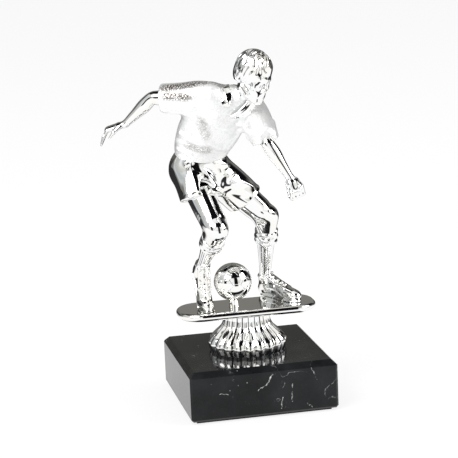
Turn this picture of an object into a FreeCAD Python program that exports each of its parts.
import FreeCAD, Part
import Sketcher
import math
import os

# A figure trophy: a footballer with a ball on an oblong plate and a ribbed riser, on a stone block.
# Millimetres, +Z up. The origin is the centre of the underside. The front of the trophy faces -Y.
# "Right" and "left" are the figure's own, so its right arm is on the -X side.

# ---------------------------------------------------------------- driving dimensions

SIZES = {
    # stone block, its felt and the rod that holds everything down on it
    "block_width": 60.0,
    "block_depth": 60.0,
    "block_height": 20.0,
    "block_top_chamfer": 2.2,
    "block_edge_chamfer": 0.9,
    "felt_thickness": 1.0,
    "felt_inset": 2.5,
    "rod_diameter": 5.0,
    "rod_hole_gap": 0.5,
    "rod_overrun": 1.5,
    "rod_thread_in_nut": 3.5,
    "washer_diameter": 13.0,
    "washer_thickness": 1.2,
    "nut_flats": 8.0,
    "nut_height": 4.0,
    "counterbore_gap": 1.0,
    "counterbore_spare": 1.0,
    # ribbed riser
    "riser_height": 15.2,
    "riser_neck_radius": 7.8,
    "riser_neck_length": 1.2,
    "riser_bulge_radius": 16.0,
    "riser_bulge_height": 3.4,
    "riser_foot_radius": 13.8,
    "riser_fullness": 2.0,
    "riser_rib_count": 20.0,
    "riser_rib_depth": 0.9,
    "riser_wall": 1.4,
    # plate under the figure
    "plate_length": 57.2,
    "plate_depth": 22.0,
    "plate_thickness": 3.2,
    "plate_end_flat": 3.0,
    "plate_edge_flat": 0.3,
    "plate_skin": 1.6,
    "plate_rim": 1.7,
    "plate_rib": 1.4,
    "plate_seat_margin": 0.8,
    "boss_wall": 1.3,
    "boss_floor": 1.6,
    # fits
    "glue_gap": 0.1,
    "peg_depth": 2.0,
    # ball
    "ball_radius": 7.8,
    "ball_peg_radius": 1.9,
    "ball_peg_height": 2.7,
    "ball_peg_hold": 2.2,
    "ball_side_gap": 0.5,
    "ball_front": 3.0,
    # feet: where the ball of each foot stands, where it points, and how the foot is made
    "right_foot_x": -17.4,
    "right_foot_y": -2.4,
    "right_foot_turn": 2.0,
    "right_heel_lift": 58.0,
    "left_foot_x": 17.7,
    "left_foot_y": 0.4,
    "left_foot_turn": 28.0,
    "left_heel_lift": 0.0,
    "arch_length": 13.6,
    "toe_length": 4.6,
    "ankle_rise": 5.6,
    "arch_lift": 0.7,
    "heel_back": 2.0,
    "shaft_forward": 1.0,
    "heel_width": 2.7,
    "heel_height": 3.3,
    "arch_width": 2.6,
    "arch_height": 3.4,
    "foot_width": 3.4,
    "foot_height": 2.9,
    "toe_width": 2.7,
    "toe_height": 2.0,
    "tip_reach": 1.6,
    "tip_drop": 1.7,
    "tip_width": 1.6,
    "tip_height": 0.9,
    "collar_height": 1.6,
    "boot_collar_wall": 0.8,
    "foot_peg_radius": 1.1,
    # legs
    "thigh_length": 30.0,
    "shin_length": 29.2,
    "crouch": 0.6976,
    "pelvis_forward": 2.4,
    "pelvis_side": -4.2,
    "pelvis_turn": 3.0,
    "hip_spacing": 10.8,
    "hip_tilt": 12.0,
    "right_knee_turn": 12.0,
    "left_knee_turn": 76.0,
    "thigh_hem_radius": 5.8,
    "thigh_mid_radius": 5.3,
    "thigh_low_radius": 4.8,
    "knee_radius": 5.1,
    "calf_top_radius": 4.3,
    "leg_spigot_radius": 2.6,
    "leg_spigot_length": 4.0,
    # socks, with turned-down cuffs
    "sock_top": 6.2,
    "sock_cuff_length": 6.6,
    "sock_cuff_wall": 0.5,
    "sock_cuff_lap": 1.0,
    "sock_calf_radius": 3.5,
    "sock_mid_radius": 3.1,
    "ankle_radius": 2.3,
    "sock_spigot_radius": 1.4,
    "sock_spigot_length": 3.0,
    # shorts
    "right_shorts_length": 13.6,
    "left_shorts_length": 17.2,
    "right_hem_drape": 1.1,
    "left_hem_drape": 0.25,
    "shorts_hem_width": 7.6,
    "shorts_hem_depth": 7.0,
    "shorts_seat_width": 12.0,
    "shorts_seat_depth": 8.4,
    "shorts_seat_drop": 1.0,
    "shorts_leg_width": 7.6,
    "shorts_waist_width": 9.6,
    "shorts_waist_depth": 6.9,
    "crotch_width": 7.0,
    "crotch_depth": 5.6,
    "crotch_drop": 5.6,
    "waist_spigot_radius": 4.5,
    "waist_spigot_length": 4.0,
    # back, chest and shoulders
    "lumbar_length": 8.0,
    "lumbar_turn": -8.0,
    "lumbar_rise": 72.0,
    "abdomen_length": 12.4,
    "abdomen_turn": 37.0,
    "abdomen_rise": 59.0,
    "thorax_length": 11.5,
    "thorax_turn": 55.0,
    "thorax_rise": 50.0,
    "neck_length": 5.6,
    "neck_turn": 48.0,
    "neck_rise": 25.0,
    "shoulder_half_span": 11.0,
    "shoulder_tilt": 21.8,
    "shoulder_turn": 4.0,
    "shirt_hem_width": 10.9,
    "shirt_hem_depth": 7.9,
    "belly_width": 12.2,
    "belly_depth": 8.8,
    "belly_side": 0.6,
    "belly_back": 0.4,
    "chest_width": 12.6,
    "chest_depth": 8.9,
    "yoke_width": 9.8,
    "yoke_depth": 7.0,
    "neck_seat_radius": 5.2,
    # sleeves and arms
    "shoulder_radius": 6.4,
    "sleeve_top_radius": 5.9,
    "sleeve_mid_radius": 5.6,
    "sleeve_hang": 1.9,
    "sleeve_length": 16.2,
    "upper_arm_length": 20.5,
    "forearm_length": 15.6,
    "right_arm_turn": -118.0,
    "right_arm_rise": -2.0,
    "right_forearm_turn": -120.0,
    "right_forearm_rise": -41.0,
    "left_arm_turn": 3.5,
    "left_arm_rise": -27.5,
    "left_forearm_turn": 62.0,
    "left_forearm_rise": -58.0,
    "arm_cuff_radius": 3.0,
    "elbow_radius": 2.55,
    "elbow_joint_radius": 2.7,
    "forearm_radius": 2.6,
    "wrist_radius": 1.5,
    "wrist_lap": 0.6,
    "arm_spigot_radius": 1.6,
    "arm_spigot_length": 4.0,
    # hands
    "right_palm_turn": -117.0,
    "right_palm_rise": -16.0,
    "right_fingers_turn": -72.0,
    "right_fingers_rise": -67.0,
    "palm_length": 7.9,
    "palm_width": 2.5,
    "palm_depth": 1.3,
    "finger_length": 6.3,
    "finger_width": 1.8,
    "finger_depth": 0.7,
    "fingertip_width": 0.9,
    "fingertip_depth": 0.45,
    "fist_length": 4.6,
    "fist_width": 2.9,
    "fist_depth": 2.3,
    "thumb_radius": 0.8,
    "thumb_length": 3.6,
    # collar, neck and head
    "collar_ring_radius": 6.3,
    "collar_ring_height": 2.0,
    "collar_ring_flare": 0.9,
    "neck_radius": 3.7,
    "neck_spigot_radius": 2.4,
    "neck_spigot_length": 3.5,
    "head_reach": 12.4,
    "head_reach_turn": 56.0,
    "head_reach_rise": 57.0,
    "face_turn": 32.0,
    "face_nod": 20.0,
    "face_roll": 9.0,
    "skull_width": 6.5,
    "skull_depth": 7.5,
    "skull_height": 7.1,
    "hair_thickness": 0.6,
    "jaw_width": 4.8,
    "jaw_depth": 4.9,
    "jaw_height": 5.6,
    "jaw_drop": 5.2,
    "jaw_forward": 2.6,
    "nose_radius": 0.9,
    "nose_sink": 0.3,
    "nose_drop": 4.0,
    "ear_back": 0.6,
    "ear_drop": 2.6,
    "hair_back": 1.1,
    "hair_lift": 0.9,
    "neck_inside": 3.0,
    "ear_radius": 1.6,
    "ear_thickness": 0.8,
}

doc = FreeCAD.newDocument("FigureTrophy")
sheet = doc.addObject("Spreadsheet::Sheet", "Sizes")
for row, (alias, number) in enumerate(SIZES.items(), start=1):
    sheet.set("A%d" % row, alias.replace("_", " "))
    sheet.set("B%d" % row, str(number))
    sheet.setAlias("B%d" % row, alias)
doc.recompute()

PIECES = []
Vec = FreeCAD.Vector
UP = Vec(0, 0, 1)


# ---------------------------------------------------------------- helpers

def amount(names):
    """The sum of one or more sizes, given as 'first + second'."""
    return sum(SIZES[name] for name in names.split(" + "))


def formula(names):
    """The same sum as an expression on the sheet's cells."""
    return " + ".join("Sizes." + name for name in names.split(" + "))


def new(kind, name, **expressions):
    """One document object with its properties bound to the sheet."""
    thing = doc.addObject(kind, name)
    thing.Label = name
    for prop, text in expressions.items():
        thing.setExpression(prop.replace("__", "."), text)
    return thing


def facing(point, normal, side=Vec(1, 0, 0)):
    """A placement at point, with local Z along normal and local X towards side."""
    return FreeCAD.Placement(point, FreeCAD.Rotation(side, normal.cross(side), normal, "ZXY"))


def heading(turn, rise=0.0):
    """A unit direction: turn is counted from the front towards +X, rise from level."""
    across = math.radians(turn)
    upward = math.radians(rise)
    return Vec(math.sin(across) * math.cos(upward), -math.cos(across) * math.cos(upward), math.sin(upward))


def section(name, point, normal, width, depth, side=Vec(1, 0, 0)):
    """An ellipse across a limb; the larger half size always lies on its local X."""
    ring = new("Part::Ellipse", name)
    turned = amount(depth) > amount(width)
    ring.setExpression("MajorRadius", formula(depth if turned else width))
    ring.setExpression("MinorRadius", formula(width if turned else depth))
    ring.Placement = facing(point, normal, side)
    if turned:
        ring.Placement.Rotation = ring.Placement.Rotation.multiply(FreeCAD.Rotation(UP, 90))
    return ring


def circle(name, point, normal, radius, side=Vec(1, 0, 0)):
    ring = new("Part::Circle", name, Radius=formula(radius))
    ring.Placement = facing(point, normal, side)
    return ring


def loft(name, rings):
    body = doc.addObject("Part::Loft", name)
    body.Label = name
    body.Sections = rings
    body.Solid = True
    body.Ruled = False
    return body


def limb(name, stations, side=Vec(1, 0, 0)):
    """A round limb through (point, direction, radius) stations."""
    rings = [circle("%s_ring_%d" % (name, k), point, way, radius, side)
             for k, (point, way, radius) in enumerate(stations)]
    return loft(name, rings)


def round_bar(name, point, way, radius, length, gap=""):
    """A spigot, or with a gap the hole for one, standing on point and running along way."""
    bar = new("Part::Cylinder", name, Radius=formula(radius + gap), Height=formula(length + gap))
    bar.Placement = facing(point, way, Vec(1, 0, 0) if abs(way.x) < 0.9 else UP)
    return bar


def ball(name, point, radius):
    shape = new("Part::Sphere", name, Radius=formula(radius))
    shape.Placement.Base = point
    return shape


def egg(name, place, width, depth, height):
    """An ellipsoid with half sizes along its local X, Y and Z."""
    shape = new("Part::Ellipsoid", name, Radius1=formula(height), Radius2=formula(width), Radius3=formula(depth))
    shape.Placement = place
    return shape


def fuse(name, shapes):
    joined = doc.addObject("Part::MultiFuse", name)
    joined.Label = name
    joined.Shapes = shapes
    return joined


def cut(name, base, tool):
    rest = doc.addObject("Part::Cut", name)
    rest.Label = name
    rest.Base = base
    rest.Tool = tool
    return rest


def piece(shape, label):
    shape.Label = label
    PIECES.append(shape)
    return shape


GAP = " + glue_gap"


# ---------------------------------------------------------------- levels of the stack

BLOCK_TOP = "felt_thickness + block_height"
RISER_TOP = BLOCK_TOP + " + riser_height"
PLATE_TOP = RISER_TOP + " + plate_thickness"
plate_top = amount(PLATE_TOP)


# ---------------------------------------------------------------- places of the figure's joints

def foot_places(side_name):
    """Ball of the foot, heel and ankle, from where the foot stands and how far its heel is lifted."""
    turn = SIZES[side_name + "_foot_turn"]
    lift = SIZES[side_name + "_heel_lift"]
    along = heading(turn, -lift)
    above = heading(turn, 90.0 - lift)
    sole = Vec(SIZES[side_name + "_foot_x"], SIZES[side_name + "_foot_y"], plate_top)
    middle = sole + UP * SIZES["foot_height"]
    heel = middle - along * SIZES["arch_length"]
    ankle = heel + above * SIZES["ankle_rise"]
    return {"flat": heading(turn), "along": along, "above": above, "sole": sole, "middle": middle,
            "heel": heel, "ankle": ankle, "toe": middle + heading(turn) * SIZES["toe_length"]}


def knee_place(hip, ankle, turn):
    """Where a thigh and a shin of given lengths meet, on the side that turn points to."""
    thigh = SIZES["thigh_length"]
    shin = SIZES["shin_length"]
    line = ankle - hip
    reach = line.Length
    line.normalize()
    along = (thigh ** 2 - shin ** 2 + reach ** 2) / (2 * reach)
    out = math.sqrt(max(thigh ** 2 - along ** 2, 0.0))
    pole = heading(turn)
    pole = pole - line * pole.dot(line)
    pole.normalize()
    return hip + line * along + pole * out


feet = {"right": foot_places("right"), "left": foot_places("left")}
leg_reach = SIZES["crouch"] * (SIZES["thigh_length"] + SIZES["shin_length"])
pelvis_lift = math.sqrt(leg_reach ** 2 - SIZES["pelvis_forward"] ** 2 - SIZES["pelvis_side"] ** 2)
hip_line = heading(90 + SIZES["pelvis_turn"], -SIZES["hip_tilt"])
right_hip = feet["right"]["ankle"] + Vec(SIZES["pelvis_side"], -SIZES["pelvis_forward"], pelvis_lift)
pelvis = right_hip + hip_line * (SIZES["hip_spacing"] / 2)
hips = {"right": right_hip, "left": right_hip + hip_line * SIZES["hip_spacing"]}
knees = {name: knee_place(hips[name], feet[name]["ankle"], SIZES[name + "_knee_turn"]) for name in hips}

lumbar = heading(SIZES["lumbar_turn"], SIZES["lumbar_rise"])
abdomen = heading(SIZES["abdomen_turn"], SIZES["abdomen_rise"])
thorax = heading(SIZES["thorax_turn"], SIZES["thorax_rise"])
neck_way = heading(SIZES["neck_turn"], SIZES["neck_rise"])
waist = pelvis + lumbar * SIZES["lumbar_length"]
chest = waist + abdomen * SIZES["abdomen_length"]
yoke = chest + thorax * SIZES["thorax_length"]
neck_base = yoke + neck_way * SIZES["neck_length"]
shoulder_line = heading(90 + SIZES["shoulder_turn"], -SIZES["shoulder_tilt"])
shoulders = {"right": yoke - shoulder_line * SIZES["shoulder_half_span"],
             "left": yoke + shoulder_line * SIZES["shoulder_half_span"]}


# ---------------------------------------------------------------- block, felt and hardware

def fixed_rectangle(sketch, width, depth):
    """A rectangle centred on the sketch's origin, with both sides bound to expressions."""
    corners = [Vec(-5, -5, 0), Vec(5, -5, 0), Vec(5, 5, 0), Vec(-5, 5, 0)]
    for k in range(4):
        sketch.addGeometry(Part.LineSegment(corners[k], corners[(k + 1) % 4]))
    for k in range(4):
        sketch.addConstraint(Sketcher.Constraint("Coincident", k, 2, (k + 1) % 4, 1))
    for k in (0, 2):
        sketch.addConstraint(Sketcher.Constraint("Horizontal", k))
    for k in (1, 3):
        sketch.addConstraint(Sketcher.Constraint("Vertical", k))
    sketch.addConstraint(Sketcher.Constraint("Symmetric", 0, 1, 1, 2, -1, 1))
    wide = sketch.addConstraint(Sketcher.Constraint("DistanceX", 0, 1, 0, 2, 10))
    deep = sketch.addConstraint(Sketcher.Constraint("DistanceY", 1, 1, 1, 2, 10))
    sketch.setExpression("Constraints[%d]" % wide, width)
    sketch.setExpression("Constraints[%d]" % deep, depth)


def flat_sketch(body, name, level):
    """A sketch on the body's XY plane, lifted to a level."""
    plane = [face for face in body.Origin.OriginFeatures if face.Role == "XY_Plane"][0]
    sketch = body.newObject("Sketcher::SketchObject", name)
    sketch.AttachmentSupport = (plane, "")
    sketch.MapMode = "FlatFace"
    sketch.setExpression("AttachmentOffset.Base.z", level)
    return sketch


def slab(name, width, depth, level, height):
    """A PartDesign body that starts as a centred rectangular pad."""
    body = doc.addObject("PartDesign::Body", name)
    sketch = flat_sketch(body, name + "_outline", level)
    fixed_rectangle(sketch, width, depth)
    pad = body.newObject("PartDesign::Pad", name + "_pad")
    pad.Profile = sketch
    pad.setExpression("Length", height)
    doc.recompute()
    return body, pad


def edge_names(shape, wanted):
    return ["Edge%d" % (k + 1) for k, edge in enumerate(shape.Edges) if wanted(edge)]


def is_upright(edge):
    ends = [vertex.Point for vertex in edge.Vertexes]
    return len(ends) == 2 and (ends[0] - ends[1]).cross(UP).Length < 1e-6


def lies_at(level):
    return lambda edge: abs(edge.BoundBox.ZMin - level) < 1e-4 and abs(edge.BoundBox.ZMax - level) < 1e-4


def dress(body, kind, name, base, edges, size):
    """A fillet or chamfer on chosen edges."""
    feature = body.newObject(kind, name)
    feature.Base = (base, edges)
    feature.setExpression("Radius" if kind.endswith("Fillet") else "Size", size)
    doc.recompute()
    return feature


def make_block():
    body, pad = slab("block_stone", "Sizes.block_width", "Sizes.block_depth", "Sizes.felt_thickness",
                     "Sizes.block_height")
    chamfer = "PartDesign::Chamfer"
    top = dress(body, chamfer, "block_top_edge", pad, edge_names(pad.Shape, lies_at(amount(BLOCK_TOP))),
                "Sizes.block_top_chamfer")
    sharp = edge_names(top.Shape, lambda edge: is_upright(edge) or lies_at(SIZES["felt_thickness"])(edge))
    dress(body, chamfer, "block_other_edges", top, sharp, "Sizes.block_edge_chamfer")
    bore = new("Part::Cylinder", "block_bore", Radius="Sizes.rod_diameter / 2 + Sizes.rod_hole_gap",
               Height=formula(BLOCK_TOP))
    pocket = new("Part::Cylinder", "block_counterbore",
                 Radius="Sizes.washer_diameter / 2 + Sizes.counterbore_gap",
                 Height=formula("felt_thickness + counterbore_spare + rod_overrun + nut_height + washer_thickness"))
    piece(cut("marble_block_cut", body, fuse("block_holes", [bore, pocket])), "marble_block")


def make_felt():
    felt = new("Part::Box", "felt", Length="Sizes.block_width - 2 * Sizes.felt_inset",
               Width="Sizes.block_depth - 2 * Sizes.felt_inset", Height="Sizes.felt_thickness",
               Placement__Base__x="Sizes.felt_inset - Sizes.block_width / 2",
               Placement__Base__y="Sizes.felt_inset - Sizes.block_depth / 2")
    piece(felt, "felt_sheet")


ROD_FOOT = "felt_thickness + counterbore_spare"
NUT_FOOT = ROD_FOOT + " + rod_overrun"
WASHER_FOOT = NUT_FOOT + " + nut_height"
ANCHOR_TOP = formula(RISER_TOP) + " - Sizes.boss_floor"


def hex_nut(name, foot):
    blank = new("Part::Prism", name + "_blank", Circumradius="Sizes.nut_flats / sqrt(3)",
                Height="Sizes.nut_height", Placement__Base__z=foot)
    blank.Polygon = 6
    bore = new("Part::Cylinder", name + "_bore", Radius="Sizes.rod_diameter / 2", Height="Sizes.nut_height",
               Placement__Base__z=foot)
    return cut(name + "_cut", blank, bore)


def make_hardware():
    rod = new("Part::Cylinder", "rod", Radius="Sizes.rod_diameter / 2",
              Height=ANCHOR_TOP + " - Sizes.nut_height + Sizes.rod_thread_in_nut - (" + formula(ROD_FOOT) + ")",
              Placement__Base__z=formula(ROD_FOOT))
    piece(rod, "tie_rod")
    piece(hex_nut("rod_nut", formula(NUT_FOOT)), "rod_nut")
    piece(hex_nut("anchor_nut", ANCHOR_TOP + " - Sizes.nut_height"), "anchor_nut")
    ring = new("Part::Cylinder", "washer_disc", Radius="Sizes.washer_diameter / 2",
               Height="Sizes.washer_thickness", Placement__Base__z=formula(WASHER_FOOT))
    bore = new("Part::Cylinder", "washer_bore", Radius="Sizes.rod_diameter / 2 + Sizes.glue_gap",
               Height="Sizes.washer_thickness", Placement__Base__z=formula(WASHER_FOOT))
    piece(cut("washer_cut", ring, bore), "rod_washer")


# ---------------------------------------------------------------- ribbed riser

def riser_weights(level):
    """How much of each radius the profile takes at a height above the block: foot, bulge, ogee and neck."""
    low = SIZES["riser_bulge_height"]
    high = SIZES["riser_height"] - SIZES["riser_neck_length"]
    if level < low:
        foot = (1 - level / low) ** 2
        return {"riser_foot_radius": foot, "riser_bulge_radius": 1 - foot}
    part = min((level - low) / (high - low), 1.0)
    bulge = (1 + math.cos(math.pi * part ** SIZES["riser_fullness"])) / 2
    return {"riser_bulge_radius": bulge, "riser_neck_radius": 1 - bulge}


def riser_radius(level):
    """Radius over the rib crests at a height above the block."""
    return sum(SIZES[name] * weight for name, weight in riser_weights(level).items())


def rib_depth(level):
    return SIZES["riser_rib_depth"] * riser_radius(level) / SIZES["riser_bulge_radius"]


def ribbed_ring(level):
    """A closed wire of outward arcs, one for each rib."""
    count = int(SIZES["riser_rib_count"])
    crest = riser_radius(level)
    valley = crest - rib_depth(level)
    height = amount(BLOCK_TOP) + level

    def spot(radius, step):
        angle = 2 * math.pi * step / count
        return Vec(radius * math.cos(angle), radius * math.sin(angle), height)

    arcs = [Part.Arc(spot(valley, k), spot(crest, k + 0.5), spot(valley, k + 1)).toShape() for k in range(count)]
    return Part.Wire(arcs)


def make_riser():
    low = SIZES["riser_bulge_height"]
    high = SIZES["riser_height"] - SIZES["riser_neck_length"]
    levels = [0.0, low / 2, low] + [low + (high - low) * k / 5 for k in range(1, 6)] + [SIZES["riser_height"]]
    outside = doc.addObject("Part::Feature", "riser_outside")
    outside.Shape = Part.makeLoft([ribbed_ring(level) for level in levels], True)
    inside_levels = levels[:-1] + [SIZES["riser_height"] - SIZES["riser_wall"]]
    hollow = []
    for k, level in enumerate(inside_levels):
        crest = " + ".join("%.6f * Sizes.%s" % (weight, name) for name, weight in riser_weights(level).items())
        valley = "(" + crest + ") * (1 - Sizes.riser_rib_depth / Sizes.riser_bulge_radius)"
        ring = new("Part::Circle", "riser_hollow_ring_%d" % k, Radius=valley + " - Sizes.riser_wall")
        ring.Placement.Base = Vec(0, 0, amount(BLOCK_TOP) + level)
        hollow.append(ring)
    inside = loft("riser_inside", hollow)
    mouth = new("Part::Cylinder", "riser_mouth", Radius=BOSS_RADIUS + " + Sizes.glue_gap",
                Height="Sizes.riser_wall * 2",
                Placement__Base__z=formula(RISER_TOP) + " - Sizes.riser_wall * 2")
    piece(cut("riser_cut", outside, fuse("riser_space", [inside, mouth])), "fluted_riser")


# ---------------------------------------------------------------- plate

BOSS_RADIUS = "Sizes.nut_flats / sqrt(3) + Sizes.boss_wall"
BOSS_DEPTH = "Sizes.nut_height + 2 * Sizes.boss_floor"


def foot_peg(name, gap=""):
    """The peg under a boot, or with a gap its hole in the plate."""
    return round_bar(name, feet[name.split("_")[0]]["sole"], UP * -1, "foot_peg_radius", "peg_depth", gap)


def ball_spot():
    """The ball stands beside the right boot, at the plate's top."""
    boot_side = feet["right"]["sole"].x + SIZES["foot_width"]
    return Vec(boot_side + amount("ball_side_gap + ball_radius"), -SIZES["ball_front"], plate_top)


def make_platform():
    fillet = "PartDesign::Fillet"
    body, pad = slab("plate_blank", "Sizes.plate_length", "Sizes.plate_depth", formula(RISER_TOP),
                     "Sizes.plate_thickness")
    ends = dress(body, fillet, "plate_ends", pad, edge_names(pad.Shape, is_upright),
                 "(Sizes.plate_depth - Sizes.plate_end_flat) / 2")
    rims = edge_names(ends.Shape, lambda edge: lies_at(plate_top)(edge) or lies_at(amount(RISER_TOP))(edge))
    dress(body, fillet, "plate_bullnose", ends, rims, "(Sizes.plate_thickness - Sizes.plate_edge_flat) / 2")
    core_body, core_pad = slab("plate_core", "Sizes.plate_length - 2 * Sizes.plate_rim",
                               "Sizes.plate_depth - 2 * Sizes.plate_rim", formula(RISER_TOP),
                               "Sizes.plate_thickness - Sizes.plate_skin")
    dress(core_body, fillet, "plate_core_ends", core_pad, edge_names(core_pad.Shape, is_upright),
          "(Sizes.plate_depth - Sizes.plate_end_flat) / 2 - Sizes.plate_rim")
    full = "Sizes.plate_thickness"
    seat = new("Part::Cylinder", "plate_seat", Radius="Sizes.riser_neck_radius + Sizes.plate_seat_margin",
               Height=full, Placement__Base__z=formula(RISER_TOP))
    rib = new("Part::Box", "plate_long_rib", Length="Sizes.plate_length", Width="Sizes.plate_rib", Height=full,
              Placement__Base__x="-Sizes.plate_length / 2", Placement__Base__y="-Sizes.plate_rib / 2",
              Placement__Base__z=formula(RISER_TOP))
    keeps = [seat, rib]
    for name in feet:
        boss = new("Part::Cylinder", name + "_foot_boss", Radius=formula("foot_peg_radius + glue_gap + plate_rib"),
                   Height=full)
        boss.Placement.Base = Vec(feet[name]["sole"].x, feet[name]["sole"].y, amount(RISER_TOP))
        keeps.append(boss)
    core = cut("plate_hollow", core_body, fuse("plate_keeps", keeps))
    boss = new("Part::Cylinder", "plate_boss", Radius=BOSS_RADIUS, Height=BOSS_DEPTH,
               Placement__Base__z=formula(RISER_TOP) + " - (" + BOSS_DEPTH + ")")
    nut_room = new("Part::Prism", "nut_room", Circumradius="Sizes.nut_flats / sqrt(3)", Height="Sizes.nut_height",
                   Placement__Base__z=ANCHOR_TOP + " - Sizes.nut_height")
    nut_room.Polygon = 6
    rod_room = new("Part::Cylinder", "rod_room", Radius="Sizes.rod_diameter / 2 + Sizes.rod_hole_gap",
                   Height="Sizes.nut_height + Sizes.boss_floor",
                   Placement__Base__z=formula(RISER_TOP) + " - (" + BOSS_DEPTH + ")")
    ball_hole = round_bar("ball_peg_hole", ball_spot(), UP * -1, "ball_peg_radius", "peg_depth", GAP)
    holes = [core, nut_room, rod_room, ball_hole, foot_peg("right_peg_hole", GAP), foot_peg("left_peg_hole", GAP)]
    piece(cut("platform_cut", fuse("plate_with_boss", [body, boss]), fuse("plate_holes", holes)), "platform")


def make_ball():
    centre = ball_spot() + UP * amount("ball_peg_height + ball_radius")
    sphere = ball("ball_sphere", centre, "ball_radius")
    foot = ball_spot() - UP * SIZES["peg_depth"]
    reach = "peg_depth + ball_peg_height + ball_peg_hold"
    peg = round_bar("peg", foot, UP, "ball_peg_radius", reach)
    hole = round_bar("ball_hole", foot, UP, "ball_peg_radius", reach, GAP)
    piece(cut("ball_cut", sphere, hole), "ball")
    piece(peg, "ball_peg")


# ---------------------------------------------------------------- legs

def make_boot(name):
    """A boot closed round the ankle, flat under the sole, with a peg into the plate."""
    foot = feet[name]
    across = foot["flat"].cross(UP) * -1
    halfway = foot["heel"] + (foot["middle"] - foot["heel"]) * 0.5 + foot["above"] * SIZES["arch_lift"]
    back = foot["heel"] - foot["along"] * SIZES["heel_back"]
    rings = [
        section(name + "_boot_back", back, foot["along"], "toe_width", "toe_height", across),
        section(name + "_boot_heel", foot["heel"], foot["along"], "heel_width", "heel_height", across),
        section(name + "_boot_arch", halfway, foot["along"], "arch_width", "arch_height", across),
        section(name + "_boot_ball", foot["middle"], foot["along"] + foot["flat"], "foot_width", "foot_height", across),
        section(name + "_boot_toe", foot["toe"] - UP * (SIZES["foot_height"] - SIZES["toe_height"]), foot["flat"],
                "toe_width", "toe_height", across),
        section(name + "_boot_tip", foot["toe"] + foot["flat"] * SIZES["tip_reach"] - UP * SIZES["tip_drop"],
                foot["flat"], "tip_width", "tip_height", across),
    ]
    foot_loft = loft(name + "_boot_foot", rings)
    way = knees[name] - foot["ankle"]
    way.normalize()
    collar = foot["ankle"] + way * SIZES["collar_height"]
    shaft = limb(name + "_boot_shaft", [
        (foot["heel"] + foot["along"] * SIZES["shaft_forward"], foot["above"], "heel_width"),
        (foot["ankle"], foot["above"] + way, "ankle_radius + boot_collar_wall"),
        (collar, way, "ankle_radius + boot_collar_wall"),
    ], across)
    below = new("Part::Box", name + "_boot_below", Length="Sizes.plate_length", Width="Sizes.plate_length",
                Height="Sizes.plate_length")
    below.Placement.Base = Vec(foot["sole"].x, foot["sole"].y, plate_top) - Vec(1, 1, 2) * (SIZES["plate_length"] / 2)
    upper = cut(name + "_boot_upper", fuse(name + "_boot_forms", [foot_loft, shaft]), below)
    pegged = fuse(name + "_boot_pegged", [upper, foot_peg(name + "_peg")])
    hole = round_bar(name + "_boot_hole", collar, way * -1, "sock_spigot_radius", "sock_spigot_length", GAP)
    piece(cut(name + "_boot_cut", pegged, hole), name + "_boot")
    return collar, way


def make_sock(name, collar, way):
    """A sock from its turned cuff to the boot, with a spigot down into the boot."""
    top = knees[name] - way * SIZES["sock_top"]
    cuff_end = top - way * SIZES["sock_cuff_length"]
    fold = top - way * (SIZES["sock_cuff_length"] / 2)
    side = Vec(1, 0, 0)
    cuff = limb(name + "_sock_cuff", [
        (top, way, "calf_top_radius"),
        (fold, way, "calf_top_radius + sock_cuff_wall"),
        (cuff_end, way, "calf_top_radius"),
    ], side)
    middle = (cuff_end + collar) * 0.5
    calf = limb(name + "_sock_calf", [
        (cuff_end + way * SIZES["sock_cuff_lap"], way, "sock_calf_radius"),
        (middle, way, "sock_mid_radius"),
        (collar, way, "ankle_radius"),
    ], side)
    spigot = round_bar(name + "_sock_spigot", collar, way * -1, "sock_spigot_radius", "sock_spigot_length")
    hole = round_bar(name + "_sock_hole", top, way * -1, "leg_spigot_radius", "leg_spigot_length", GAP)
    joined = fuse(name + "_sock_forms", [cuff, calf, spigot])
    piece(cut(name + "_sock_cut", joined, hole), name + "_sock")
    return top


def make_leg(name, sock_top, shin_way):
    """A bare leg from the shorts' hem over the knee to the sock, with a spigot at each end."""
    thigh_way = knees[name] - hips[name]
    thigh_way.normalize()
    hem = hips[name] + thigh_way * SIZES[name + "_shorts_length"]
    hem_way = thigh_way - UP * SIZES[name + "_hem_drape"]
    hem_way.normalize()
    middle = (hem + knees[name]) * 0.5
    side = Vec(1, 0, 0)
    thigh = limb(name + "_thigh", [
        (hem, hem_way, "thigh_hem_radius"),
        (middle, thigh_way, "thigh_mid_radius"),
        (knees[name], thigh_way, "thigh_low_radius"),
    ], side)
    knee = ball(name + "_knee", knees[name], "knee_radius")
    calf = limb(name + "_calf", [(knees[name], shin_way * -1, "thigh_low_radius"),
                                 (sock_top, shin_way * -1, "calf_top_radius")], side)
    upper = round_bar(name + "_leg_upper_spigot", hem, hem_way * -1, "leg_spigot_radius", "leg_spigot_length")
    lower = round_bar(name + "_leg_lower_spigot", sock_top, shin_way * -1, "leg_spigot_radius", "leg_spigot_length")
    piece(fuse(name + "_leg_forms", [thigh, knee, calf, upper, lower]), name + "_leg")
    return hem, hem_way


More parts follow.
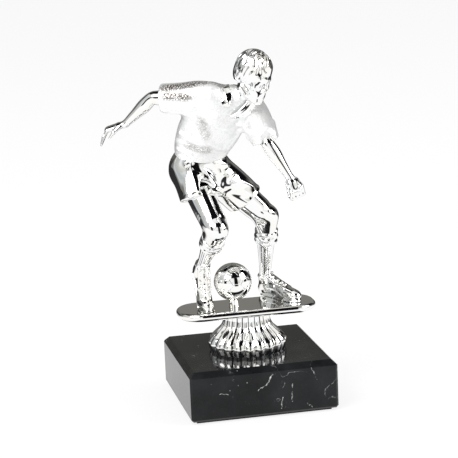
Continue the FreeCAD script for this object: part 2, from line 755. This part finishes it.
def make_shorts(hems):
    """Seat, crotch and two flared legs, bored for the legs, with a spigot up into the shirt."""
    seat = pelvis - UP * SIZES["shorts_seat_drop"]
    crotch = seat - UP * SIZES["crotch_drop"]
    trunk = loft("shorts_trunk", [
        section("shorts_crotch", crotch, UP, "crotch_width", "crotch_depth", hip_line),
        section("shorts_seat", seat, lumbar + UP, "shorts_seat_width", "shorts_seat_depth", hip_line),
        section("shorts_waist", waist, lumbar, "shorts_waist_width", "shorts_waist_depth", hip_line),
    ])
    forms = [trunk, round_bar("waist_spigot", waist, lumbar, "waist_spigot_radius", "waist_spigot_length")]
    holes = []
    for name, (hem, way) in hems.items():
        side = Vec(1, 0, 0)
        middle = (hips[name] + hem) * 0.5
        forms.append(loft(name + "_shorts_leg", [
            section(name + "_shorts_top", hips[name], way, "shorts_leg_width", "shorts_leg_width", side),
            section(name + "_shorts_mid", middle, way, "shorts_leg_width", "shorts_leg_width", side),
            section(name + "_shorts_hem", hem, way, "shorts_hem_width", "shorts_hem_depth", side),
        ]))
        holes.append(round_bar(name + "_shorts_hole", hem, way * -1, "leg_spigot_radius", "leg_spigot_length", GAP))
    piece(cut("shorts_cut", fuse("shorts_forms", forms), fuse("shorts_holes", holes)), "shorts")


# ---------------------------------------------------------------- shirt, collar and arms

def arm_ways(name):
    upper = heading(SIZES[name + "_arm_turn"], SIZES[name + "_arm_rise"])
    fore = heading(SIZES[name + "_forearm_turn"], SIZES[name + "_forearm_rise"])
    return upper, fore


def make_shirt():
    """Trunk and sleeves in one moulding, bored for the waist, neck and arm spigots."""
    belly = (waist + chest) * 0.5 + Vec(-SIZES["belly_side"], SIZES["belly_back"], 0)
    trunk = loft("shirt_trunk", [
        section("shirt_hem", waist, lumbar, "shirt_hem_width", "shirt_hem_depth", hip_line),
        section("shirt_belly", belly, abdomen + lumbar, "belly_width", "belly_depth", hip_line + shoulder_line),
        section("shirt_chest", chest, abdomen + thorax, "chest_width", "chest_depth", shoulder_line),
        section("shirt_yoke", yoke, thorax, "yoke_width", "yoke_depth", shoulder_line),
        section("shirt_neck", neck_base, neck_way, "neck_seat_radius", "neck_seat_radius", shoulder_line),
    ])
    forms = [trunk]
    holes = [round_bar("collar_room", neck_base, neck_way, "collar_ring_radius", "collar_ring_height + collar_ring_radius",
                       GAP),
             round_bar("shirt_waist_hole", waist, lumbar, "waist_spigot_radius", "waist_spigot_length", GAP),
             round_bar("shirt_neck_hole", neck_base, neck_way * -1, "neck_spigot_radius", "neck_spigot_length", GAP)]
    for name, shoulder in shoulders.items():
        upper = arm_ways(name)[0]
        cuff = shoulder + upper * SIZES["sleeve_length"]
        forms.append(ball(name + "_shoulder", shoulder, "shoulder_radius"))
        forms.append(limb(name + "_sleeve", [
            (shoulder, upper, "sleeve_top_radius"),
            (shoulder + upper * (SIZES["sleeve_length"] / 2), upper, "sleeve_mid_radius"),
            (cuff, upper, "arm_cuff_radius + sleeve_hang"),
        ], UP))
        holes.append(round_bar(name + "_sleeve_hole", cuff, upper * -1, "arm_spigot_radius", "arm_spigot_length", GAP))
    piece(cut("shirt_cut", fuse("shirt_forms", forms), fuse("shirt_holes", holes)), "shirt")


def make_collar():
    ring = new("Part::Cone", "collar_ring", Radius1="Sizes.collar_ring_radius",
               Radius2="Sizes.collar_ring_radius - Sizes.collar_ring_flare", Height="Sizes.collar_ring_height")
    ring.Placement = facing(neck_base, neck_way, shoulder_line)
    bore = round_bar("collar_bore", neck_base, neck_way, "neck_radius", "collar_ring_height", GAP)
    piece(cut("collar_cut", ring, bore), "collar")


def make_hand(name, wrist, way):
    """An open, drooping right hand and a closed left one."""
    forward = heading(0)
    if name == "right":
        palm_way = heading(SIZES["right_palm_turn"], SIZES["right_palm_rise"])
        droop = heading(SIZES["right_fingers_turn"], SIZES["right_fingers_rise"])
        knuckles = wrist + palm_way * SIZES["palm_length"]
        hand = loft("right_hand", [
            circle("right_hand_wrist", wrist - way * SIZES["wrist_lap"], way, "wrist_radius", UP),
            section("right_hand_palm", (wrist + knuckles) * 0.5, palm_way, "palm_depth", "palm_width", UP),
            section("right_hand_knuckles", knuckles, palm_way + droop, "finger_depth", "finger_width", UP),
            section("right_hand_tips", knuckles + droop * SIZES["finger_length"], droop, "fingertip_depth",
                    "fingertip_width", UP),
        ])
        thumb_foot = (wrist + knuckles) * 0.5 + forward * (SIZES["palm_width"] - SIZES["thumb_radius"])
        thumb_way = droop + palm_way
    else:
        fist = wrist + way * (SIZES["fist_length"] * 0.9)
        hand = egg("left_hand", facing(fist, way, UP), "fist_depth", "fist_width", "fist_length")
        thumb_foot = fist - way * (SIZES["fist_length"] * 0.35) + forward * (SIZES["fist_depth"] * 0.6)
        thumb_way = way * 2 - heading(90)
    thumb_way.normalize()
    thumb = limb(name + "_thumb", [(thumb_foot, thumb_way, "thumb_radius"),
                                   (thumb_foot + thumb_way * SIZES["thumb_length"], thumb_way, "fingertip_width")])
    return [hand, thumb]


def make_arm(name):
    """A bare arm from the sleeve's cuff to the hand, with a spigot into the sleeve."""
    upper, fore = arm_ways(name)
    shoulder = shoulders[name]
    cuff = shoulder + upper * SIZES["sleeve_length"]
    elbow = shoulder + upper * SIZES["upper_arm_length"]
    wrist = elbow + fore * SIZES["forearm_length"]
    forms = [
        limb(name + "_upper_arm", [(cuff, upper, "arm_cuff_radius"), (elbow, upper, "elbow_radius")], UP),
        ball(name + "_elbow", elbow, "elbow_joint_radius"),
        limb(name + "_forearm", [
            (elbow, fore, "elbow_radius"),
            (elbow + fore * (SIZES["forearm_length"] * 0.4), fore, "forearm_radius"),
            (wrist, fore, "wrist_radius"),
        ], UP),
        round_bar(name + "_arm_spigot", cuff, upper * -1, "arm_spigot_radius", "arm_spigot_length"),
    ]
    piece(fuse(name + "_arm_forms", forms + make_hand(name, wrist, fore)), name + "_arm")


# ---------------------------------------------------------------- head

def make_head():
    """Neck, skull, jaw, nose, ears and a cap of short hair."""
    centre = neck_base + heading(SIZES["head_reach_turn"], SIZES["head_reach_rise"]) * SIZES["head_reach"]
    tilt = FreeCAD.Rotation(SIZES["face_turn"], 0, 0)
    tilt = tilt.multiply(FreeCAD.Rotation(Vec(1, 0, 0), SIZES["face_nod"]))
    tilt = tilt.multiply(FreeCAD.Rotation(Vec(0, 1, 0), SIZES["face_roll"]))

    def spot(x, y, z):
        return centre + tilt.multVec(Vec(x, y, z))

    skull = egg("skull", FreeCAD.Placement(centre, tilt), "skull_width", "skull_depth", "skull_height")
    jaw = egg("jaw", FreeCAD.Placement(spot(0, -SIZES["jaw_forward"], -SIZES["jaw_drop"]), tilt),
              "jaw_width", "jaw_depth", "jaw_height")
    hair = egg("hair", FreeCAD.Placement(spot(0, SIZES["hair_back"], SIZES["hair_lift"]), tilt), "skull_width + hair_thickness",
               "skull_depth + hair_thickness", "skull_height + hair_thickness")
    bridge = spot(0, SIZES["nose_sink"] - SIZES["skull_depth"], -SIZES["nose_drop"])
    nose = egg("nose", FreeCAD.Placement(bridge, tilt), "nose_radius", "nose_radius", "ear_radius")
    forms = [skull, jaw, hair, nose]
    for side, name in ((-1, "right"), (1, "left")):
        place = FreeCAD.Placement(spot(side * SIZES["skull_width"], SIZES["ear_back"], -SIZES["ear_drop"]), tilt)
        forms.append(egg(name + "_ear", place, "ear_thickness", "ear_radius", "ear_radius + ear_thickness"))
    way = centre - neck_base
    way.normalize()
    throat = limb("neck", [(neck_base, neck_way, "neck_radius"),
                           (neck_base + neck_way * SIZES["collar_ring_height"], neck_way, "neck_radius"),
                           (centre - way * SIZES["neck_inside"], way, "neck_radius")])
    spigot = round_bar("neck_spigot", neck_base, neck_way * -1, "neck_spigot_radius", "neck_spigot_length")
    piece(fuse("head_forms", forms + [throat, spigot]), "head")


# ---------------------------------------------------------------- build, check and export

make_block()
make_felt()
make_hardware()
make_riser()
make_platform()
make_ball()
hems = {}
for leg_name in feet:
    boot_collar, shin = make_boot(leg_name)
    sock_edge = make_sock(leg_name, boot_collar, shin)
    hems[leg_name] = make_leg(leg_name, sock_edge, shin)
make_shorts(hems)
make_shirt()
make_collar()
for arm_name in shoulders:
    make_arm(arm_name)
make_head()
doc.recompute()

for thing in doc.Objects:
    if "Invalid" in thing.State or "Error" in thing.State or "Touched" in thing.State:
        raise RuntimeError("%s is %s" % (thing.Label, thing.State))
for thing in doc.Objects:
    if thing.TypeId == "Part::MultiFuse":
        for part in thing.Shapes:
            if not thing.Shape.BoundBox.isInside(part.Shape.BoundBox.Center):
                raise RuntimeError("%s lost %s" % (thing.Label, part.Label))
            if thing.Shape.Volume < part.Shape.Volume * 0.999:
                raise RuntimeError("%s lost part of %s" % (thing.Label, part.Label))
for thing in PIECES:
    if thing.Shape.isNull() or not thing.Shape.isValid() or len(thing.Shape.Solids) != 1:
        raise RuntimeError("%s has no single valid solid: %d" % (thing.Label, len(thing.Shape.Solids)))

os.makedirs("parts", exist_ok=True)
for thing in PIECES:
    thing.Shape.exportStep("parts/%s.step" % thing.Label)
print("%d pieces written" % len(PIECES))
